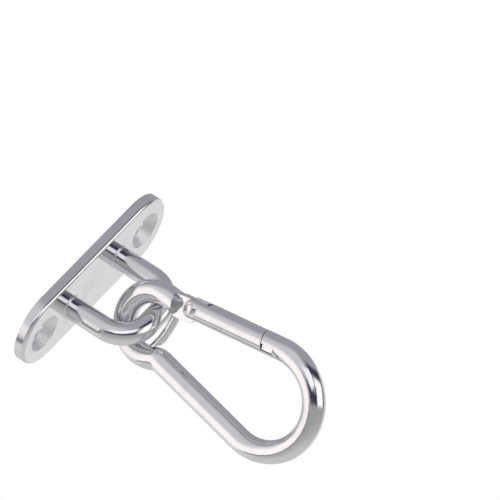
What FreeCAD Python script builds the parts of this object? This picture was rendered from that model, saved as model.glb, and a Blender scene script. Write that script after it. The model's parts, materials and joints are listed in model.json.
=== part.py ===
import FreeCAD, Part
import math
import os
import Sketcher

# Eye plate with a welded staple and a spring snap hook, in millimetres.
# The plate's back is the mounting face at z = 0, and the hook hangs below it.
# The hook's own pieces share a frame: origin at the hinge pin, z up the gate's axis, y along the pin.

dimensions = {
    # Eye plate
    "plate_length": 77,
    "plate_width": 28,
    "plate_thick": 4,
    "plate_edge_radius": 1.2,
    "screw_spacing": 54.5,
    "screw_hole_dia": 7.5,
    "countersink_dia": 13.8,
    # Staple of round bar, welded into the plate
    "bar_dia": 8,
    "leg_spacing": 26.2,
    "staple_corner_radius": 10.4,
    "staple_reach": 24.4,
    "leg_fit": 0.02,
    "weld_size": 0.4,
    # Hook body of the same bar, measured along the gate's axis from the pin
    "eye_radius": 11.3,
    "eye_rise": 13.1,
    "bow_radius": 17.7,
    "bow_drop": 35.2,
    "eye_wrap": 199.08,
    "neck_radius": 5,
    "tail_dia": 3.2,
    "tail_rise": 5.75,
    "tail_radius": 37,
    "tail_gap": 0.35,
    # Tongue that the gate turns on
    "tongue_thick": 3.6,
    "tongue_end": 3.6,
    "tongue_flat": 3.6,
    "tongue_side": 5.2,
    "tongue_outer": 2.9,
    "tongue_bevel": 1.4,
    "shoulder_rise": 6.8,
    "shoulder_length": 2.9,
    # Gate, pin and latch
    "gate_dia": 7.8,
    "ear_reach": 2.8,
    "ear_radius": 4.4,
    "slot_width": 3.9,
    "slot_depth": 6.1,
    "pin_dia": 3,
    "pin_fit": 0.02,
    "pin_running": 0.05,
    "pin_head_dia": 4.2,
    "pin_head_seat": 3.3,
    "pin_rim": 0.15,
    "pin_dome": 0.5,
    "spot_face_dia": 4.7,
    "latch_drop": 28.6,
    "latch_gap": 0.3,
    "barb_gap": 0.6,
    "lip_gap": 0.9,
    "latch_slant": 10,
    "tooth_length": 4.6,
    "tooth_depth": 2,
    "notch_height": 2.2,
    "lip_length": 9.3,
    # Plunger and spring inside the gate
    "bore_dia": 4.5,
    "bore_depth": 25,
    "plunger_running": 0.05,
    "plunger_gap": 0.05,
    "plunger_head": 5,
    "plunger_tail": 4,
    "plunger_tail_dia": 2.2,
    "plunger_chamfer": 0.3,
    "spring_clearance": 0.15,
    "wire_dia": 0.6,
    "spring_turns": 9,
    # Cutting shapes reach this far past what they cut
    "overcut": 1,
    # How the hook hangs in the staple
    "hook_yaw": 38,
    "hook_tilt": 4,
    "hook_lean": 8.7,
    "eye_hang": 1.65,
    "eye_shift": 1.6,
}

doc = FreeCAD.newDocument("eye_plate_hook")
sheet = doc.addObject("Spreadsheet::Sheet", "dims")
for row, (name, size) in enumerate(dimensions.items(), start=1):
    sheet.set(f"A{row}", name)
    sheet.set(f"B{row}", str(size))
    sheet.setAlias(f"B{row}", name)
doc.recompute()

startPoint, endPoint, centrePoint = range(1, 4)
xAxis, yAxis = range(-1, -3, -1)
vertexOfOrigin = (xAxis, startPoint)
volumes = {}


def spell(expression):
    # A size is written as its name, and stands for that cell of the sheet.
    words = sorted(dimensions, key=len, reverse=True)
    marked = expression
    for number, word in enumerate(words):
        marked = marked.replace(word, f"@{number}@")
    for number, word in enumerate(words):
        marked = marked.replace(f"@{number}@", f"dims.{word}")
    return marked


def measure(expression):
    size = sheet.evalExpression(spell(str(expression)))
    return float(getattr(size, "Value", size))


def bind(thing, **expressions):
    for name, expression in expressions.items():
        thing.setExpression(name.replace("__", "."), spell(expression))


def make_body(name):
    body = doc.addObject("PartDesign::Body", name)
    body.Label = name
    return body


def plane_of(body, role):
    return next(item for item in body.Origin.OriginFeatures if item.Role == role)


def make_sketch(body, name, role, **offsets):
    sketch = body.newObject("Sketcher::SketchObject", name)
    sketch.AttachmentSupport = (plane_of(body, role), [""])
    sketch.MapMode = "FlatFace"
    for axis, expression in offsets.items():
        sketch.setExpression(f"AttachmentOffset.Base.{axis}", spell(expression))
    doc.recompute()
    return sketch


def hold(sketch, kind, *references, size=None):
    if size is None:
        return sketch.addConstraint(Sketcher.Constraint(kind, *references))
    index = sketch.addConstraint(Sketcher.Constraint(kind, *references, measure(size)))
    sketch.setExpression(f"Constraints[{index}]", spell(str(size)))
    return index


def hold_point(sketch, geometry, point, place):
    for kind, axis, size in (("DistanceX", yAxis, place[0]), ("DistanceY", xAxis, place[1])):
        if str(size) == "0":
            hold(sketch, "PointOnObject", geometry, point, axis)
        else:
            hold(sketch, kind, *vertexOfOrigin, geometry, point, size=size)


def draw_circle(sketch, place, radius):
    centre = FreeCAD.Vector(measure(place[0]), measure(place[1]), 0)
    circle = sketch.addGeometry(Part.Circle(centre, FreeCAD.Vector(0, 0, 1), measure(radius)), False)
    hold_point(sketch, circle, centrePoint, place)
    hold(sketch, "Radius", circle, size=radius)


def draw_outline(sketch, corners, bends=()):
    # Corners are pairs of sizes; a bend (index, radius, side) arcs from that corner to the next.
    arcs = {index: (radius, side) for index, radius, side in bends}
    points = [FreeCAD.Vector(measure(x), measure(y), 0) for x, y in corners]
    edges = []
    for index, point in enumerate(points):
        after = points[(index + 1) % len(points)]
        if index in arcs:
            radius, side = arcs[index]
            edges.append(sketch.addGeometry(bend_between(point, after, measure(radius), side), False))
        else:
            edges.append(sketch.addGeometry(Part.LineSegment(point, after), False))
    for index, edge in enumerate(edges):
        after = (index + 1) % len(edges)
        turned = index in arcs and arcs[index][1] < 0
        turned_after = after in arcs and arcs[after][1] < 0
        leaving = startPoint if turned else endPoint
        entering = endPoint if turned_after else startPoint
        hold(sketch, "Coincident", edge, leaving, edges[after], entering)
        hold_point(sketch, edges[after], entering, corners[after])
        if index in arcs:
            hold(sketch, "Radius", edge, size=arcs[index][0])


def draw_stadium(sketch, reach, radius):
    # Two half circles at plus and minus reach on the x axis, joined by straight sides.
    far, half = measure(reach), measure(radius)
    corners = [
        FreeCAD.Vector(far, -half, 0),
        FreeCAD.Vector(far, half, 0),
        FreeCAD.Vector(-far, half, 0),
        FreeCAD.Vector(-far, -half, 0),
    ]
    shapes = [
        bend_between(corners[0], corners[1], half, 1),
        Part.LineSegment(corners[1], corners[2]),
        bend_between(corners[2], corners[3], half, 1),
        Part.LineSegment(corners[3], corners[0]),
    ]
    right, top, left, bottom = (sketch.addGeometry(shape, False) for shape in shapes)
    hold(sketch, "Tangent", right, endPoint, top, startPoint)
    hold(sketch, "Tangent", top, endPoint, left, startPoint)
    hold(sketch, "Tangent", left, endPoint, bottom, startPoint)
    hold(sketch, "Tangent", bottom, endPoint, right, startPoint)
    hold_point(sketch, right, centrePoint, (reach, 0))
    hold_point(sketch, left, centrePoint, (f"-{reach}", 0))
    hold(sketch, "Radius", right, size=radius)


def bend_between(begin, end, radius, side):
    # Side +1 turns left on the way from begin to end, -1 turns right.
    chord = end - begin
    height = math.sqrt(max(radius ** 2 - (chord.Length / 2) ** 2, 0))
    normal = FreeCAD.Vector(-chord.y, chord.x, 0).normalize()
    centre = (begin + end) * 0.5 + normal * (height * side)
    circle = Part.Circle(centre, FreeCAD.Vector(0, 0, 1), radius)
    first, last = (begin, end) if side > 0 else (end, begin)
    angles = [math.atan2(p.y - centre.y, p.x - centre.x) for p in (first, last)]
    return Part.ArcOfCircle(circle, angles[0], angles[1])


def add_feature(body, kind, name, sketch, **expressions):
    feature = body.newObject(kind, name)
    feature.Profile = sketch
    bind(feature, **expressions)
    return feature


def settle(body, cuts=False):
    # A cut that misses its solid changes no volume, so each feature has to change it.
    before = volumes.get(body.Name, 0)
    doc.recompute()
    after = body.Shape.Volume
    if (cuts and after >= before) or (not cuts and after <= before):
        raise RuntimeError(f"{body.Tip.Label} changed nothing in {body.Label}")
    volumes[body.Name] = after


def pad(body, sketch, name, length, symmetric=False, upward=True):
    feature = add_feature(body, "PartDesign::Pad", name, sketch, Length=length)
    if symmetric:
        feature.SideType = "Symmetric"
    feature.Reversed = not upward
    settle(body)
    return feature


def pocket(body, sketch, name, length, symmetric=False, upward=False):
    feature = add_feature(body, "PartDesign::Pocket", name, sketch, Length=length)
    if symmetric:
        feature.SideType = "Symmetric"
    feature.Reversed = upward
    settle(body, cuts=True)
    return feature


def revolve(body, sketch, name, cuts=False, angle=360):
    kind = "PartDesign::Groove" if cuts else "PartDesign::Revolution"
    feature = add_feature(body, kind, name, sketch)
    feature.ReferenceAxis = (sketch, ["V_Axis"])
    feature.Angle = angle
    feature.Midplane = True
    settle(body, cuts=cuts)
    return feature


def pipe(body, profile, path, name):
    feature = add_feature(body, "PartDesign::AdditivePipe", name, profile)
    feature.Spine = (path, [f"Edge{number}" for number in range(1, path.GeometryCount + 1)])
    settle(body)
    return feature


def mirror(body, feature, name, role):
    copy = body.newObject("PartDesign::Mirrored", name)
    copy.Originals = [feature]
    copy.MirrorPlane = (plane_of(body, role), [""])
    body.Tip = copy
    doc.recompute()
    volumes[body.Name] = body.Shape.Volume


def edges_on_level(feature, level):
    names = []
    for number, edge in enumerate(feature.Shape.Edges, start=1):
        box = edge.BoundBox
        if abs(box.ZMin - level) < 1e-6 and abs(box.ZMax - level) < 1e-6:
            names.append(f"Edge{number}")
    return names


def hang(thing):
    # All the hook's pieces hang together: the eye's centre comes below the staple's crest.
    thing.setExpression("Placement", spell(
        "create(<<placement>>; create(<<vector>>; -eye_shift; 0; -(plate_thick + staple_reach + eye_hang));"
        " create(<<rotation>>; create(<<vector>>; 0; 0; 1); hook_yaw - 90))"
        " * create(<<placement>>; create(<<vector>>; 0; 0; 0);"
        " create(<<rotation>>; create(<<vector>>; 1; 0; 0); -hook_tilt))"
        " * create(<<placement>>; create(<<vector>>; 0; 0; 0);"
        " create(<<rotation>>; create(<<vector>>; 0; 1; 0); -hook_lean))"
        " * create(<<placement>>; create(<<vector>>; eye_radius; 0; -eye_rise);"
        " create(<<rotation>>; create(<<vector>>; 0; 1; 0); 0))"
    ))


def build_eye_plate():
    body = make_body("eye_plate")
    outline = make_sketch(body, "plate_outline", "XY_Plane")
    draw_stadium(outline, "(plate_length - plate_width) / 2", "plate_width / 2")
    blank = pad(body, outline, "plate_blank", "plate_thick", upward=False)

    rounding = body.newObject("PartDesign::Fillet", "plate_front_edge")
    rounding.Base = (blank, edges_on_level(blank, -measure("plate_thick")))
    bind(rounding, Radius="plate_edge_radius")
    settle(body, cuts=True)

    legs = make_sketch(body, "leg_holes_outline", "XY_Plane")
    for side in ("-", ""):
        draw_circle(legs, (f"{side}leg_spacing / 2", 0), "bar_dia / 2 + leg_fit")
    pocket(body, legs, "leg_holes", "plate_thick")

    section = make_sketch(body, "screw_hole_section", "XZ_Plane", x="screw_spacing / 2")
    sink = "(countersink_dia - screw_hole_dia) / 2"
    draw_outline(section, [
        (0, 0),
        (0, "-plate_thick"),
        ("countersink_dia / 2", "-plate_thick"),
        ("screw_hole_dia / 2", f"-plate_thick + {sink}"),
        ("screw_hole_dia / 2", 0),
    ])
    hole = revolve(body, section, "screw_hole", cuts=True)
    mirror(body, hole, "screw_holes", "YZ_Plane")
    return body


def build_staple():
    body = make_body("staple")
    path = make_sketch(body, "staple_path", "XZ_Plane")
    side = "leg_spacing / 2"
    crest = "plate_thick + staple_reach"
    corner = "staple_corner_radius"
    stops = [
        (f"-{side}", "0"),
        (f"-{side}", f"-({crest} - {corner})"),
        (f"-({side} - {corner})", f"-({crest})"),
        (f"{side} - {corner}", f"-({crest})"),
        (side, f"-({crest} - {corner})"),
        (side, "0"),
    ]
    points = [FreeCAD.Vector(measure(x), measure(y), 0) for x, y in stops]
    for index in range(len(points) - 1):
        begin, end = points[index], points[index + 1]
        if index in (1, 3):
            path.addGeometry(bend_between(begin, end, measure(corner), 1), False)
            hold(path, "Radius", index, size=corner)
        else:
            path.addGeometry(Part.LineSegment(begin, end), False)
        hold_point(path, index, startPoint, stops[index])
    for index in range(len(points) - 2):
        hold(path, "Coincident", index, endPoint, index + 1, startPoint)
    hold_point(path, len(points) - 2, endPoint, stops[-1])
    doc.recompute()

    section = make_sketch(body, "staple_section", "XY_Plane")
    draw_circle(section, (f"-{side}", 0), "bar_dia / 2")
    pipe(body, section, path, "staple_bar")

    bead = make_sketch(body, "weld_section", "XZ_Plane", x=f"-{side}")
    draw_outline(bead, [
        ("bar_dia / 2 - weld_size", "-plate_thick"),
        ("bar_dia / 2 + weld_size", "-plate_thick"),
        ("bar_dia / 2", "-plate_thick - weld_size"),
        ("bar_dia / 2 - weld_size", "-plate_thick - weld_size"),
    ], bends=[(1, "weld_size", -1)])
    weld = revolve(body, bead, "weld")
    mirror(body, weld, "welds", "YZ_Plane")
    return body


def draw_hook_path(path):
    # Tongue, eye, neck, spine, bow and nose, each tangent to the next; the numbers only start the solver.
    eyeRadius, bowRadius, neckRadius = (measure(f"{part}_radius") for part in ("eye", "bow", "neck"))
    wrap = math.radians(measure("eye_wrap"))
    eye = FreeCAD.Vector(-eyeRadius, measure("eye_rise"), 0)
    bow = FreeCAD.Vector(-bowRadius, -measure("bow_drop"), 0)
    eyeSide = FreeCAD.Vector(math.cos(wrap), math.sin(wrap), 0)
    neck = eye + eyeSide * (eyeRadius + neckRadius)
    eyeFoot = eye + eyeSide * eyeRadius
    rise = neck - bow
    bends = neckRadius + bowRadius
    heading = math.atan2(rise.y, rise.x) - math.asin(bends / rise.Length)
    outward = FreeCAD.Vector(-math.sin(heading), math.cos(heading), 0)
    spineFoot = bow + outward * bowRadius
    spineHead = neck - outward * neckRadius
    tongueTop = FreeCAD.Vector(0, eye.y, 0)
    noseFoot = FreeCAD.Vector(0, bow.y, 0)
    noseEnd = "latch_drop - bar_dia * tan(latch_slant)"

    def arc(centre, radius, first, last):
        angles = [math.atan2(p.y - centre.y, p.x - centre.x) for p in (first, last)]
        return Part.ArcOfCircle(Part.Circle(centre, FreeCAD.Vector(0, 0, 1), radius), *angles)

    shapes = [
        Part.LineSegment(FreeCAD.Vector(0, -measure("tongue_end"), 0), tongueTop),
        arc(eye, eyeRadius, tongueTop, eyeFoot),
        arc(neck, neckRadius, spineHead, eyeFoot),
        Part.LineSegment(spineFoot, spineHead),
        arc(bow, bowRadius, spineFoot, noseFoot),
        Part.LineSegment(noseFoot, FreeCAD.Vector(0, -measure(noseEnd), 0)),
    ]
    tongue, eyeArc, neckArc, spine, bowArc, nose = (path.addGeometry(shape, False) for shape in shapes)
    hold_point(path, tongue, startPoint, (0, "-tongue_end"))
    hold_point(path, tongue, endPoint, (0, "eye_rise"))
    hold(path, "Tangent", tongue, endPoint, eyeArc, startPoint)
    hold(path, "Tangent", eyeArc, endPoint, neckArc, endPoint)
    hold(path, "Tangent", neckArc, startPoint, spine, endPoint)
    hold(path, "Tangent", spine, startPoint, bowArc, startPoint)
    hold(path, "Tangent", bowArc, endPoint, nose, startPoint)
    hold_point(path, nose, startPoint, (0, "-bow_drop"))
    hold_point(path, nose, endPoint, (0, f"-({noseEnd})"))
    hold(path, "Radius", eyeArc, size="eye_radius")
    hold(path, "Radius", neckArc, size="neck_radius")
    hold(path, "Radius", bowArc, size="bow_radius")
    neckRise = "eye_rise + (eye_radius + neck_radius) * sin(eye_wrap)"
    hold(path, "DistanceY", *vertexOfOrigin, neckArc, centrePoint, size=neckRise)
    doc.recompute()


def build_hook_body():
    body = make_body("hook_body")

    tailPath = make_sketch(body, "tail_path", "XZ_Plane")
    tailEnd = "-(eye_radius + bar_dia)"
    tailLift = "(tail_radius - sqrt(tail_radius ^ 2 - (eye_radius + bar_dia) ^ 2))"
    begin = FreeCAD.Vector(0, measure("tail_rise"), 0)
    end = FreeCAD.Vector(measure(tailEnd), measure(f"tail_rise + {tailLift}"), 0)
    tail = tailPath.addGeometry(bend_between(begin, end, measure("tail_radius"), -1), False)
    hold_point(tailPath, tail, endPoint, (0, "tail_rise"))
    hold_point(tailPath, tail, startPoint, (tailEnd, f"tail_rise + {tailLift}"))
    hold(tailPath, "Radius", tail, size="tail_radius")
    tailSection = make_sketch(body, "tail_section", "YZ_Plane")
    draw_circle(tailSection, (0, "tail_rise"), "tail_dia / 2")
    pipe(body, tailSection, tailPath, "tail")

    # The tail's end is coped to the eye's bar, with an even gap.
    cope = make_sketch(body, "tail_cope_section", "XY_Plane", x="-eye_radius", z="eye_rise")
    draw_circle(cope, ("-eye_radius", 0), "bar_dia / 2 + tail_gap")
    revolve(body, cope, "tail_cope", cuts=True, angle=180)

    path = make_sketch(body, "hook_path", "XZ_Plane")
    draw_hook_path(path)
    section = make_sketch(body, "hook_section", "XY_Plane", z="-tongue_end")
    draw_circle(section, (0, 0), "bar_dia / 2")
    pipe(body, section, path, "hook_bar")

    # The bar is pressed flat into a tongue, and a cone leads from the round down to the flats.
    flats = make_sketch(body, "tongue_flats_outline", "YZ_Plane")
    below = "-(tongue_end + overcut)"
    for sign in ("", "-"):
        draw_outline(flats, [
            (f"{sign}tongue_thick / 2", below),
            (f"{sign}(bar_dia / 2 + overcut)", below),
            (f"{sign}(bar_dia / 2 + overcut)", "shoulder_rise"),
            (f"{sign}tongue_thick / 2", "shoulder_rise"),
        ])
    pocket(body, flats, "tongue_flats", "bar_dia + 2 * overcut", symmetric=True)
    cone = make_sketch(body, "shoulder_section", "XZ_Plane")
    coneFoot = "shoulder_rise - shoulder_length"
    draw_outline(cone, [
        (0, coneFoot),
        ("tongue_thick / 2", coneFoot),
        ("bar_dia / 2", "shoulder_rise"),
        (0, "shoulder_rise"),
    ])
    revolve(body, cone, "shoulder")

    # Pressing spreads the tongue on the eye's side and draws it in on the other.
    spread = make_sketch(body, "tongue_side_outline", "XZ_Plane")
    draw_outline(spread, [
        (0, "-tongue_bevel"),
        ("-bar_dia / 2", "-tongue_bevel"),
        ("-tongue_side", 0),
        ("-tongue_side", "shoulder_rise - tongue_bevel"),
        ("-bar_dia / 2", "shoulder_rise"),
        (0, "shoulder_rise"),
    ])
    pad(body, spread, "tongue_spread", "tongue_thick", symmetric=True)
    drawn = make_sketch(body, "tongue_outer_outline", "XZ_Plane")
    drawnTop = "shoulder_rise - tongue_bevel"
    draw_outline(drawn, [
        ("tongue_outer", below),
        ("bar_dia", below),
        ("bar_dia", drawnTop),
        ("tongue_outer", drawnTop),
    ])
    pocket(body, drawn, "tongue_drawn", "bar_dia + 2 * overcut", symmetric=True)

    # The plunger bears on the flat between the tongue's rounded corners.
    corners = make_sketch(body, "tongue_corners_outline", "XZ_Plane")
    cornerRadius = "(bar_dia - tongue_flat) / 2"
    for side in (1, -1):
        sign = "" if side > 0 else "-"
        draw_outline(corners, [
            (f"{sign}tongue_flat / 2", "-tongue_end"),
            (f"{sign}tongue_flat / 2", below),
            (f"{sign}bar_dia", below),
            (f"{sign}bar_dia", f"-tongue_end + {cornerRadius}"),
            (f"{sign}bar_dia / 2", f"-tongue_end + {cornerRadius}"),
        ], bends=[(4, cornerRadius, -side)])
    pocket(body, corners, "tongue_corners", "bar_dia + 2 * overcut", symmetric=True)

    hole = make_sketch(body, "tongue_hole_outline", "XZ_Plane")
    draw_circle(hole, (0, 0), "pin_dia / 2 + pin_running")
    pocket(body, hole, "tongue_hole", "bar_dia", symmetric=True)

    # The nose ends in a tooth, with a notch behind it for the gate's barb.
    latch = make_sketch(body, "nose_latch_outline", "XZ_Plane")
    toothBack = "-(latch_drop + tooth_length)"
    notchEnd = "-(latch_drop + lip_length + lip_gap)"
    above = "-(latch_drop - bar_dia * tan(latch_slant) - overcut)"
    draw_outline(latch, [
        ("bar_dia", "-(latch_drop + latch_gap) + bar_dia * tan(latch_slant)"),
        ("-tooth_depth", "-(latch_drop + latch_gap) - tooth_depth * tan(latch_slant)"),
        ("-tooth_depth", toothBack),
        ("notch_height - tooth_depth", toothBack),
        ("-bar_dia / 2", notchEnd),
        ("-bar_dia", notchEnd),
        ("-bar_dia", above),
        ("bar_dia", above),
    ])
    pocket(body, latch, "nose_latch", "bar_dia + 2 * overcut", symmetric=True)
    hang(body)
    return body


def build_gate():
    body = make_body("gate")
    round_bar = make_sketch(body, "gate_section", "XY_Plane", z="ear_reach")
    draw_circle(round_bar, (0, 0), "gate_dia / 2")
    pad(body, round_bar, "gate_bar", "ear_reach + latch_drop + lip_length", upward=False)

    # Below the end face only a lip is left, and it ends in the barb.
    latch = make_sketch(body, "gate_latch_outline", "XZ_Plane")
    lipTop = "-(tooth_depth + latch_gap)"
    barbBack = "-(latch_drop + tooth_length + latch_gap)"
    lipEnd = "-(latch_drop + lip_length)"
    draw_outline(latch, [
        ("gate_dia", "-latch_drop + gate_dia * tan(latch_slant)"),
        (lipTop, "-latch_drop - (tooth_depth + latch_gap) * tan(latch_slant)"),
        (lipTop, barbBack),
        ("notch_height - tooth_depth - barb_gap", barbBack),
        ("-gate_dia / 2", lipEnd),
        ("-gate_dia / 2", f"{lipEnd} - overcut"),
        ("gate_dia", f"{lipEnd} - overcut"),
    ])
    pocket(body, latch, "gate_latch", "gate_dia + 2 * overcut", symmetric=True)

    ears = make_sketch(body, "ear_end_outline", "XZ_Plane")
    shoulder = "ear_reach - ear_radius + sqrt(ear_radius ^ 2 - gate_dia ^ 2 / 4)"
    side = "gate_dia / 2 + overcut"
    draw_outline(ears, [
        ("-gate_dia / 2", shoulder),
        ("gate_dia / 2", shoulder),
        (side, shoulder),
        (side, "ear_reach + overcut"),
        (f"-({side})", "ear_reach + overcut"),
        (f"-({side})", shoulder),
    ], bends=[(0, "ear_radius", -1)])
    pocket(body, ears, "ear_ends", "gate_dia + 2 * overcut", symmetric=True)

    slot = make_sketch(body, "hinge_slot_outline", "YZ_Plane")
    draw_outline(slot, [
        ("-slot_width / 2", "-slot_depth"),
        ("slot_width / 2", "-slot_depth"),
        ("slot_width / 2", "ear_reach + overcut"),
        ("-slot_width / 2", "ear_reach + overcut"),
    ])
    pocket(body, slot, "hinge_slot", "gate_dia + 2 * overcut", symmetric=True)

    bore = make_sketch(body, "bore_outline", "XY_Plane", z="ear_reach")
    draw_circle(bore, (0, 0), "bore_dia / 2")
    pocket(body, bore, "spring_bore", "ear_reach + bore_depth")

    seat = make_sketch(body, "pin_seat_section", "XY_Plane")
    draw_outline(seat, [
        (0, "-gate_dia"),
        ("spot_face_dia / 2", "-gate_dia"),
        ("spot_face_dia / 2", "-pin_head_seat"),
        ("pin_dia / 2 + pin_fit", "-pin_head_seat"),
        ("pin_dia / 2 + pin_fit", "pin_head_seat"),
        ("spot_face_dia / 2", "pin_head_seat"),
        ("spot_face_dia / 2", "gate_dia"),
        (0, "gate_dia"),
    ])
    revolve(body, seat, "pin_seat", cuts=True)
    hang(body)
    return body


def build_hinge_pin():
    body = make_body("hinge_pin")
    section = make_sketch(body, "pin_section", "XY_Plane")
    rim = "pin_head_seat + pin_rim"
    crown = f"{rim} + pin_dome"
    domeRadius = "(pin_dome ^ 2 + pin_head_dia ^ 2 / 4) / (2 * pin_dome)"
    draw_outline(section, [
        (0, f"-({crown})"),
        ("pin_head_dia / 2", f"-({rim})"),
        ("pin_head_dia / 2", "-pin_head_seat"),
        ("pin_dia / 2", "-pin_head_seat"),
        ("pin_dia / 2", "pin_head_seat"),
        ("pin_head_dia / 2", "pin_head_seat"),
        ("pin_head_dia / 2", rim),
        (0, crown),
    ], bends=[(0, domeRadius, 1), (6, domeRadius, 1)])
    revolve(body, section, "pin_turned")
    hang(body)
    return body


def build_plunger():
    body = make_body("plunger")
    section = make_sketch(body, "plunger_section", "XZ_Plane")
    front = "tongue_end + plunger_gap"
    headRadius = "(bore_dia / 2 - plunger_running)"
    step = f"-({front} + plunger_head)"
    draw_outline(section, [
        (0, f"-({front})"),
        (f"{headRadius} - plunger_chamfer", f"-({front})"),
        (headRadius, f"-({front} + plunger_chamfer)"),
        (headRadius, step),
        ("plunger_tail_dia / 2", step),
        ("plunger_tail_dia / 2", f"{step} - plunger_tail"),
        (0, f"{step} - plunger_tail"),
    ])
    revolve(body, section, "plunger_turned")
    hang(body)
    return body


def build_gate_spring():
    body = make_body("gate_spring")
    section = make_sketch(body, "wire_section", "XZ_Plane")
    coilRadius = "(bore_dia - wire_dia) / 2 - spring_clearance"
    draw_circle(section, (coilRadius, "-bore_depth + wire_dia / 2"), "wire_dia / 2")
    coil = add_feature(body, "PartDesign::AdditiveHelix", "coil", section)
    coil.ReferenceAxis = (section, ["V_Axis"])
    coil.Mode = "height-turns-angle"
    bind(
        coil,
        Height="bore_depth - wire_dia - (tongue_end + plunger_gap + plunger_head)",
        Turns="spring_turns",
    )
    settle(body)
    hang(body)
    return body


def export(bodies):
    doc.recompute()
    broken = [item.Name for item in doc.Objects if {"Invalid", "Error"} & set(item.State)]
    if broken:
        raise RuntimeError(f"these objects failed: {broken}")
    for body in bodies:
        shape = body.Shape
        if shape.isNull() or not shape.isValid() or len(shape.Solids) != 1:
            raise RuntimeError(f"{body.Label} isn't one valid solid")
    os.makedirs("parts", exist_ok=True)
    for body in bodies:
        body.Shape.exportStep(f"parts/{body.Label}.step")
        print(f"{body.Label}: {body.Shape.Volume:.1f} mm3")


export([
    build_eye_plate(),
    build_staple(),
    build_hook_body(),
    build_gate(),
    build_hinge_pin(),
    build_plunger(),
    build_gate_spring(),
])
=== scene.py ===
import bmesh
import bpy
import json
import math
from mathutils import Matrix, Vector

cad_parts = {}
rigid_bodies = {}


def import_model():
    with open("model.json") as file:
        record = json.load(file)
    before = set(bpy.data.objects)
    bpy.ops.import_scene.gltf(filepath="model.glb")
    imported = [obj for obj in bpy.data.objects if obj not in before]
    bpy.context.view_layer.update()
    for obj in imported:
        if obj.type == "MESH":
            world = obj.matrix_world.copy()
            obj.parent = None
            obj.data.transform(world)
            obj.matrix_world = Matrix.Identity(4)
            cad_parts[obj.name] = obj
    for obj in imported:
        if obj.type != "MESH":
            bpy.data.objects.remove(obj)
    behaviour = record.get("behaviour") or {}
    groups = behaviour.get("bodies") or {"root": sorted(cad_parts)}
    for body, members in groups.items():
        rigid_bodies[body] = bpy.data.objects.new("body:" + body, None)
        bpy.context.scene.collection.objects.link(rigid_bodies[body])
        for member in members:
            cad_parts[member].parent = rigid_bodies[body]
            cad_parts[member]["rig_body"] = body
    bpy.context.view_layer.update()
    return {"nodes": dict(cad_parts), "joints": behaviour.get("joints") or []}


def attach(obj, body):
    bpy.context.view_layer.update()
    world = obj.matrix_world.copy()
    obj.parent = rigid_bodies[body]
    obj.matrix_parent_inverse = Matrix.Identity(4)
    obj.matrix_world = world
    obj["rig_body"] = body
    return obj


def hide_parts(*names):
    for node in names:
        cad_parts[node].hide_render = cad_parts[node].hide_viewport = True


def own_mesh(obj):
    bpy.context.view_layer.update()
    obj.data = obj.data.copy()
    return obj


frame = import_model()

print("frame loaded:", len(frame["nodes"]), "nodes")


class Wire:
    # one shader socket; sums on it add Math nodes
    def __init__(self, board, socket):
        self.board = board
        self.socket = socket

    def maths(self, operation, *values):
        return self.board.add("Math", {"operation": operation}, dict(enumerate(values)))

    def __add__(self, other):
        return self.maths("ADD", self, other)

    __radd__ = __add__

    def __sub__(self, other):
        return self.maths("SUBTRACT", self, other)

    def __rsub__(self, other):
        return self.maths("SUBTRACT", other, self)

    def __mul__(self, other):
        return self.maths("MULTIPLY", self, other)

    __rmul__ = __mul__

    def largest(self, other):
        return self.maths("MAXIMUM", self, other)

    def size(self):
        return self.maths("ABSOLUTE", self)

    def rise(self, low, high):
        # smooth step from 0 at low to 1 at high, also with low above high
        ends = {"Value": self, "From Min": low, "From Max": high}
        return self.board.add("MapRange", {"interpolation_type": "SMOOTHSTEP"}, ends, out="Result")


class Board:
    # a node tree with one way to add a node
    def __init__(self, tree):
        self.tree = tree
        self.tree.nodes.clear()

    def add(self, kind, settings, values, out=0):
        node = self.tree.nodes.new("ShaderNode" + kind)
        for name, setting in settings.items():
            setattr(node, name, setting)
        for name, value in values.items():
            if isinstance(value, Wire):
                self.tree.links.new(value.socket, node.inputs[name])
            else:
                node.inputs[name].default_value = value
        return Wire(self, node.outputs[out]) if node.outputs else None

    def blend(self, mask, first, second):
        # colour mix, first where the mask is 0
        return self.add("Mix", {"data_type": "RGBA"}, {0: mask, 6: first, 7: second}, out=2)


def newMaterial(name):
    material = bpy.data.materials.new(name)
    material.use_nodes = True
    return material, Board(material.node_tree)


# Polished steel: a bright bar with fine polishing marks and softly broken edges
polishedSteel = {
    "colour": (0.80, 0.795, 0.805, 1),
    "dulled": (0.72, 0.715, 0.73, 1),
    "dullness": (0.45, 0.75),
    "roughness": 0.115,
    "roughnessSpread": 0.06,
    "cloud": {"Scale": 80, "Detail": 3},
    "scratch": {"Scale": 260, "Detail": 5},
    "grain": {"Scale": 900, "Detail": 2},
    "noiseRoughness": 0.55,
    "scratchShare": 0.6,
    "grainShare": 0.4,
    "markHeight": 0.000004,
    "markStrength": 0.22,
    "edgeRadius": 0.00016,
    "edgeSamples": 6,
}


def makeSteel(name, look):
    material, board = newMaterial(name)
    place = board.add("TexCoord", {}, {}, out="Object")

    def noise(kind):
        values = {"Vector": place, "Roughness": look["noiseRoughness"], **look[kind]}
        return board.add("TexNoise", {}, values)

    cloud = noise("cloud")
    scratch = noise("scratch")
    grain = noise("grain")
    colour = board.blend(cloud.rise(*look["dullness"]), look["colour"], look["dulled"])
    rough = look["roughness"] + (scratch + cloud - 1) * look["roughnessSpread"]
    edge = board.add("Bevel", {"samples": look["edgeSamples"]}, {"Radius": look["edgeRadius"]})
    marks = {"Strength": look["markStrength"], "Distance": look["markHeight"], "Normal": edge}
    height = scratch * look["scratchShare"] + grain * look["grainShare"]
    bump = board.add("Bump", {}, {**marks, "Height": height})
    finish = {"Base Color": colour, "Metallic": 1, "Roughness": rough, "Normal": bump}
    board.add("OutputMaterial", {}, {"Surface": board.add("BsdfPrincipled", {}, finish)})
    return material


steel = makeSteel("polishedSteel", polishedSteel)

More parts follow.
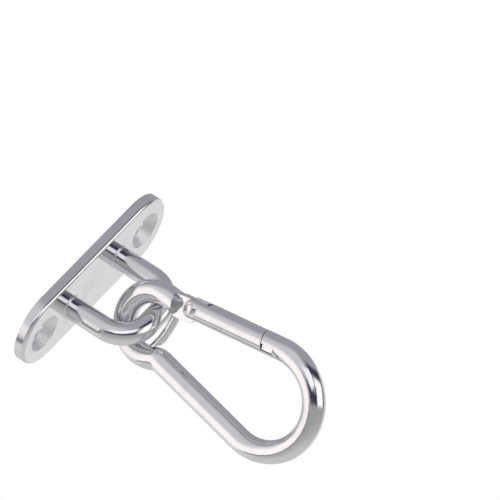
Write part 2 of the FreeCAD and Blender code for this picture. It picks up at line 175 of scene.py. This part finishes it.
# Turned faces of the countersinks, left as the tool cut them
turnedSteel = dict(
    polishedSteel,
    colour=(0.95, 0.945, 0.955, 1),
    dulled=(0.90, 0.895, 0.91, 1),
    roughness=0.55,
    markStrength=0.4,
)
cutSteel = makeSteel("turnedSteel", turnedSteel)

# Sawn face on the shoulder above the tongue: rougher where no wheel reaches, and darker in colour as
# painted shade
sawnShadedSteel = dict(
    polishedSteel,
    colour=(0.50, 0.495, 0.51, 1),
    dulled=(0.44, 0.435, 0.45, 1),
    roughness=0.42,
    markStrength=0.4,
)
sawnShadedFaces = makeSteel("sawnShadedSteel", sawnShadedSteel)

# Sawn faces inside the latch, given a dark colour as painted shade of the close seat
latchShadeSteel = dict(
    sawnShadedSteel,
    colour=(0.18, 0.178, 0.185, 1),
    dulled=(0.13, 0.128, 0.135, 1),
    roughness=0.5,
)
latchShadeFaces = makeSteel("latchShadeSteel", latchShadeSteel)

# Coiled wire inside the gate
springWire = dict(
    polishedSteel,
    colour=(0.5, 0.5, 0.51, 1),
    dulled=(0.42, 0.42, 0.43, 1),
    roughness=0.28,
)
wireSteel = makeSteel("springWire", springWire)
print("steels mixed")

# Skins: the solids' own forms, smooth where the bar is round
skins = {
    "mergeDistance": 0.0000005,
    "sharpAngle": 28,
    "faceWeight": 100,
    "barRadius": 0.004,
}
jointOf = {row["name"]: row for row in frame["joints"]}

# the hook's own frame: origin at the hinge pin, z up the gate, y along the pin, x outwards
gateUp = -Vector(jointOf["plunger_slide"]["axis"]).normalized()
pinAxis = Vector(jointOf["gate_hinge"]["axis"]).normalized()
gateOut = pinAxis.cross(gateUp)
fromHook = Matrix((gateOut, pinAxis, gateUp)).transposed().to_4x4()
fromHook.translation = Vector(jointOf["gate_hinge"]["pos_m"])
toHook = fromHook.inverted()

# Countersinks of the plate
sink = {
    "place": 0.02725,  # from the middle of the plate
    "radius": 0.00695,
    "slope": (0.3, 0.85),  # neither the bore nor the flat
}


def inCountersink(middle, normal):
    sideways = math.hypot(abs(middle.x) - sink["place"], middle.y)
    return sideways < sink["radius"] and sink["slope"][0] < abs(normal.z) < sink["slope"][1]


# Shoulder cone, from the bar's round down to the flats that the gate turns on
cone = {
    "foot": 0.0036,
    "top": 0.0069,
    "slope": 0.3,
}


def onCone(middle, normal):
    spot = toHook @ middle
    inside = spot.xy.length < skins["barRadius"] and cone["foot"] < spot.z < cone["top"]
    return inside and normal.dot(gateUp) < -cone["slope"]


cutFaces = {"eye_plate": inCountersink, "hook_body": onCone}


def copySolid(node):
    work = bmesh.new()
    work.from_mesh(frame["nodes"][node].data)
    bmesh.ops.remove_doubles(work, verts=work.verts, dist=skins["mergeDistance"])
    isCut = cutFaces.get(node, lambda middle, normal: False)
    for face in work.faces:
        face.material_index = int(isCut(face.calc_center_median(), face.normal))
    return work


def sliceFaces(work, faces, place, normal):
    # cut across these faces only, and give back what they have become
    edges = {edge for face in faces for edge in face.edges}
    verts = {vert for face in faces for vert in face.verts}
    cut = bmesh.ops.bisect_plane(
        work, geom=[*faces, *edges, *verts], plane_co=fromHook @ Vector(place), plane_no=normal,
    )
    return [item for item in cut["geom"] if isinstance(item, bmesh.types.BMFace)]


def finishPiece(node, work, *finishes):
    for face in work.faces:
        face.smooth = True
    for edge in work.edges:
        if len(edge.link_faces) == 2:
            edge.smooth = edge.calc_face_angle(0) < math.radians(skins["sharpAngle"])
    mesh = bpy.data.meshes.new(node + "Skin")
    work.to_mesh(mesh)
    work.free()
    for finish in finishes:
        mesh.materials.append(finish)
    piece = bpy.data.objects.new(node + "Skin", mesh)
    bpy.context.scene.collection.objects.link(piece)
    even = piece.modifiers.new("evenShading", "WEIGHTED_NORMAL")
    even.keep_sharp = True
    even.weight = skins["faceWeight"]
    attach(piece, frame["nodes"][node]["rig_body"])
    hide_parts(node)
    return piece


# Neck: the bar keeps bending inwards below the eye, so its shoulder stands askew on the tongue
neck = {
    "start": 0.0131,  # where the bend begins, under the eye
    "shoulder": 0.0068,  # where the round bar ends
    "footTop": 0.0067,
    "foot": 0.0053,  # lowest that the bend reaches over the tongue
    "tongueTop": 0.0055,
    "tongueSide": 0.00255,
    "footSide": 0.00275,
    "outerEdge": 0.0029,  # the tongue's outer edge, which stays put
    "edgeTouch": 0.00003,
    "inner": -0.0045,
    "around": 1.1,  # in bar radii, as the next one is
    "onRound": 1.02,
    "shift": 0.0011,  # inwards, at the shoulder
    "lift": 0.0005,
    "tilt": 0.15,
    "outerEase": 0.5,
    "footRise": 0.4,
    "rings": 6,
}


def nearNeck(spot):
    outer = neck["around"] * skins["barRadius"]
    inside = abs(spot.y) < outer and neck["inner"] < spot.x < outer
    onFoot = abs(spot.y) > neck["tongueSide"] and spot.xy.length < neck["onRound"] * skins["barRadius"]
    low = cone["foot"] if onFoot else neck["foot"]
    return inside and low < spot.z < neck["start"]


def onTongue(spot):
    return abs(spot.x - neck["outerEdge"]) < neck["edgeTouch"] and spot.z < neck["tongueTop"]


def bendNeck(work):
    length = neck["start"] - neck["shoulder"]
    bar = [face for face in work.faces if nearNeck(toHook @ face.calc_center_median())]
    for ring in range(1, neck["rings"]):
        height = neck["shoulder"] + length * ring / neck["rings"]
        bar = sliceFaces(work, bar, (0, 0, height), gateUp)
    for vert in work.verts:
        spot = toHook @ vert.co
        if nearNeck(spot) and not onTongue(spot):
            share = min((neck["start"] - spot.z) / length, 1) ** 2
            rise = share * (neck["lift"] + neck["tilt"] * spot.x)
            if spot.x > 0:
                # less on the outer half of the round, and least along the shoulder's foot
                share *= 1 - neck["outerEase"] * math.sin(math.pi * min(spot.x / skins["barRadius"], 1))
                if spot.z < neck["footTop"] and abs(spot.y) < neck["footSide"]:
                    rise *= neck["footRise"]
            spot.x -= share * neck["shift"]
            spot.z += rise
            vert.co = fromHook @ spot


# Latch: cut faces painted dark as shade, and the tooth's lower half milled flat on both sides
latch = {
    "top": -0.0275,
    "bottom": -0.0400,
    "around": 1.1,  # in bar radii, as the next one is
    "within": 0.95,
    "square": 0.05,  # how far a cut face may lean along the pin
    "toothBack": -0.0333,
    "toothHalf": 0.0031,
    "mill": (0.0001, 0.00002),  # the round ends at the first cut, the flat starts at the second
    "milled": 0.00003,
}


def nearLatch(spot, reach):
    return latch["bottom"] < spot.z < latch["top"] and spot.xy.length < reach * skins["barRadius"]


def shadeLatch(work, finishes):
    # the cut faces run square across the hook, so they are known by their normals; they get the dark
    # colour of painted shade
    for face in work.faces:
        inside = nearLatch(toHook @ face.calc_center_median(), latch["within"])
        if inside and abs(face.normal.dot(pinAxis)) < latch["square"]:
            face.material_index = finishes.index(latchShadeFaces)


def millTooth(work):
    nose = [face for face in work.faces if nearLatch(toHook @ face.calc_center_median(), latch["around"])]
    for depth in latch["mill"]:
        nose = sliceFaces(work, nose, (depth, 0, 0), gateOut)
    for vert in {vert for face in nose for vert in face.verts}:
        spot = toHook @ vert.co
        if spot.x < latch["milled"] and spot.z > latch["toothBack"]:
            spot.y = min(max(spot.y, -latch["toothHalf"]), latch["toothHalf"])
            vert.co = fromHook @ spot


def makeHook():
    finishes = [steel, sawnShadedFaces, latchShadeFaces]
    work = copySolid("hook_body")
    bendNeck(work)
    shadeLatch(work, finishes)
    millTooth(work)
    finishPiece("hook_body", work, *finishes)


def makeGate():
    finishes = [steel, latchShadeFaces]
    work = copySolid("gate")
    shadeLatch(work, finishes)
    finishPiece("gate", work, *finishes)


finishPiece("eye_plate", copySolid("eye_plate"), steel, cutSteel)
finishPiece("staple", copySolid("staple"), steel)
finishPiece("plunger", copySolid("plunger"), steel)
makeHook()
makeGate()
print("skins made")


# Spring: the coiled wire inside the gate, on a mesh of its own
def makeSpring():
    spring = finishPiece("gate_spring", copySolid("gate_spring"), wireSteel)
    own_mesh(spring)


makeSpring()
print("spring coiled")

# Hinge pin: half its section in millimetres, radius and reach, from the dome's crown to the shank
pin = {
    "steps": 64,
    "perMetre": 1000,
    "section": (
        (0, 3.95),
        (0.4, 3.935),
        (0.8, 3.88),
        (1.15, 3.80),
        (1.45, 3.69),
        (1.7, 3.55),
        (1.82, 3.45),
        (1.86, 3.38),
        (1.98, 3.38),
        (2.04, 3.34),
        (2.04, 3.30),
        (1.5, 3.29),
    ),
}


def makePin():
    work = bmesh.new()
    half = [(radius / pin["perMetre"], reach / pin["perMetre"]) for radius, reach in pin["section"]]
    section = half + [(radius, -reach) for radius, reach in reversed(half)]
    verts = [work.verts.new(fromHook @ Vector((radius, reach, 0))) for radius, reach in section]
    edges = [work.edges.new(pair) for pair in zip(verts, verts[1:])]
    bmesh.ops.spin(
        work, geom=verts + edges, cent=fromHook.translation, axis=pinAxis,
        angle=2 * math.pi, steps=pin["steps"], use_merge=True,
    )
    bmesh.ops.remove_doubles(work, verts=work.verts, dist=skins["mergeDistance"])
    bmesh.ops.recalc_face_normals(work, faces=work.faces)
    finishPiece("hinge_pin", work, steel)


makePin()
print("pin turned")

# Camera: the photograph's own axes, nearly without perspective
lens = {
    "right": (0.6037, -0.0391, -0.7962),
    "up": (0.6291, -0.5901, 0.5060),
    "aim": (0.03785, -0.00828, -0.03972),
    "focal": 500,
    "sensor": 36,
    "frameWidth": 0.16667,
    "clipEnd": 30,
}


def makeCamera():
    right = Vector(lens["right"]).normalized()
    up = Vector(lens["up"])
    up = (up - right * up.dot(right)).normalized()
    back = right.cross(up)
    distance = lens["frameWidth"] * lens["focal"] / lens["sensor"]
    data = bpy.data.cameras.new("camera")
    data.lens = lens["focal"]
    data.sensor_width = lens["sensor"]
    data.clip_end = lens["clipEnd"]
    camera = bpy.data.objects.new("camera", data)
    turn = Matrix((right, up, back)).transposed().to_4x4()
    camera.matrix_world = Matrix.Translation(Vector(lens["aim"]) + back * distance) @ turn
    bpy.context.scene.collection.objects.link(camera)
    bpy.context.scene.camera = camera
    return right, up, back


right, up, back = makeCamera()
print("camera placed")

# Studio: the colours of the room that the steel mirrors
studio = {
    "room": (0.385, 0.375, 0.42, 1),
    "overhead": (0.69, 0.685, 0.71, 1),
    "tableNear": (0.42, 0.42, 0.42, 1),
    "table": (0.67, 0.67, 0.68, 1),
    "bounce": (0.78, 0.78, 0.79, 1),
    "rim": (0.84, 0.84, 0.85, 1),
    "dark": (0.05, 0.045, 0.075, 1),
    "warmPanel": (1.22, 1.17, 1.15, 1),
    "coolPanel": (1.15, 1.15, 1.25, 1),
    "sidePanel": (1.35, 1.35, 1.35, 1),
    "white": (1, 1, 1, 1),
}

# where each thing in the room starts and where it is full, on the disc that the room is laid out on
layout = {
    "farthest": -0.998,
    "tableTilt": 0.04,
    "tableEdge": 0.13,
    "tableEnd": (-0.015, 0.015),
    "tableFade": (-0.05, -0.6),
    "bounceSide": (-0.46, -0.58),
    "bounceBottom": (-0.74, -0.50),
    "overheadSide": (0.12, -0.02),
    "overheadTop": (0.64, 0.36),
    "bandTop": (0.15, 0.10),
    "bandLeft": (-0.40, -0.26),
    "bandRight": (0.40, 0.30),
    "archLeft": (0.14, 0.22),
    "archRight": (0.86, 0.66),
    "archTop": (0.46, 0.36),
    "sideLeft": (0.22, 0.34),
    "sideRight": (0.77, 0.64),
    "sideBottom": (-0.03, 0.03),
    "sideTop": (0.28, 0.16),
    "slantTilt": 1.7,
    "slantHeight": 0.65,
    "seamBottom": (-0.12, -0.09),
    "seamTop": (-0.03, -0.06),
    "seamLeft": (-0.64, -0.54),
    "seamRight": (-0.36, -0.44),
    "warmLeft": (-0.90, -0.66),
    "warmRight": (-0.34, -0.50),
    "warmTop": (0.52, 0.15),
    "warmBottom": (-0.55, -0.30),
    "warmSlant": (-0.06, 0.0),
    "keyTurn": (0.95, 0.31),
    "keyPlace": (0.07, 0.11),
    "keyLength": (0.22, 0.15),
    "keyWidth": (0.12, 0.08),
    "rimTurn": (0.85, 0.2),
    "rimSide": (0.45, 0.70),
    "rimReach": (0.66, 0.82),
}


def makeWorld():
    world = bpy.data.worlds.new("studio")
    world.use_nodes = True
    bpy.context.scene.world = world
    board = Board(world.node_tree)
    way = board.add("TexCoord", {}, {}, out="Generated")

    def along(axis):
        return board.add("VectorMath", {"operation": "DOT_PRODUCT"}, {0: way, 1: tuple(axis)}, out="Value")

    def inside(*sides):
        # the share that lies inside all these sides
        first, *others = [wire.rise(*layout[name]) for wire, name in sides]
        for other in others:
            first = first * other
        return first

    # the middle of the disc is behind the camera, its rim beyond the object
    near = along(back).largest(layout["farthest"])
    scale = near.maths("INVERSE_SQRT", near * 2 + 2)
    x = along(right) * scale
    y = along(up) * scale
    reach = x * x + y * y
    level = y + x * layout["tableTilt"] + layout["tableEdge"]  # above the table's far edge
    slant = y - x * layout["slantTilt"] - layout["slantHeight"]  # above the warm panel's lower edge

    above = level.rise(*layout["tableEnd"])
    table = board.blend(level.rise(*layout["tableFade"]), studio["tableNear"], studio["table"])
    table = board.blend(inside((x, "bounceSide"), (y, "bounceBottom")), table, studio["bounce"])
    overhead = inside((x, "overheadSide"), (y, "overheadTop"))
    room = board.blend(overhead, studio["room"], studio["overhead"])
    room = board.blend(above, table, room)
    darkBand = inside((level, "bandTop"), (x, "bandLeft"), (x, "bandRight"))
    darkArch = inside((x, "archLeft"), (x, "archRight"), (y, "archTop"))
    room = board.blend(darkBand.largest(darkArch) * above, room, studio["dark"])
    sidePanel = inside((x, "sideLeft"), (x, "sideRight"), (level, "sideBottom"), (y, "sideTop"))
    room = board.blend(sidePanel, room, studio["sidePanel"])
    seam = inside((slant, "seamBottom"), (slant, "seamTop"), (x, "seamLeft"), (x, "seamRight"))
    room = board.blend(seam, room, studio["dark"])
    warmPanel = inside(
        (x, "warmLeft"), (x, "warmRight"), (y, "warmTop"), (y, "warmBottom"), (slant, "warmSlant"),
    )
    room = board.blend(warmPanel, room, studio["warmPanel"])
    keyAlong, keyAcross = layout["keyTurn"]
    keyLong = x * keyAlong + y * keyAcross - layout["keyPlace"][0]
    keyWide = y * keyAlong - x * keyAcross - layout["keyPlace"][1]
    keyPanel = inside((keyLong.size(), "keyLength"), (keyWide.size(), "keyWidth"))
    room = board.blend(keyPanel, room, studio["coolPanel"])
    rimAlong, rimAcross = layout["rimTurn"]
    rim = inside((x * rimAlong - y * rimAcross, "rimSide"), (reach, "rimReach"))
    room = board.blend(rim, room, studio["rim"])
    seen = board.add("LightPath", {}, {}, out="Is Camera Ray")
    shown = board.blend(seen, room, studio["white"])
    sky = board.add("Background", {}, {"Color": shown, "Strength": 1})
    board.add("OutputWorld", {}, {"Surface": sky})


makeWorld()
print("room lit")

# Floor: pale and matt, far below; the steel mirrors the room's table instead of it
ground = {
    "drop": 3.2,
    "size": 30,
    "colour": (0.9, 0.9, 0.9, 1),
    "roughness": 0.9,
}


def makeFloor():
    work = bmesh.new()
    bmesh.ops.create_grid(work, x_segments=1, y_segments=1, size=ground["size"] / 2)
    bmesh.ops.translate(work, verts=work.verts, vec=(0, 0, -ground["drop"]))
    mesh = bpy.data.meshes.new("floor")
    work.to_mesh(mesh)
    work.free()
    floor = bpy.data.objects.new("floor", mesh)
    bpy.context.scene.collection.objects.link(floor)
    material, board = newMaterial("paleFloor")
    paint = {"Base Color": ground["colour"], "Roughness": ground["roughness"]}
    matt = board.add("BsdfPrincipled", {}, paint)
    clear = board.add("BsdfTransparent", {}, {})
    mirrored = board.add("LightPath", {}, {}, out="Is Glossy Ray")
    surface = board.add("MixShader", {}, {0: mirrored, 1: matt, 2: clear})
    board.add("OutputMaterial", {}, {"Surface": surface})
    floor.data.materials.append(material)


makeFloor()
print("floor laid")

bpy.context.scene.view_settings.view_transform = "Standard"
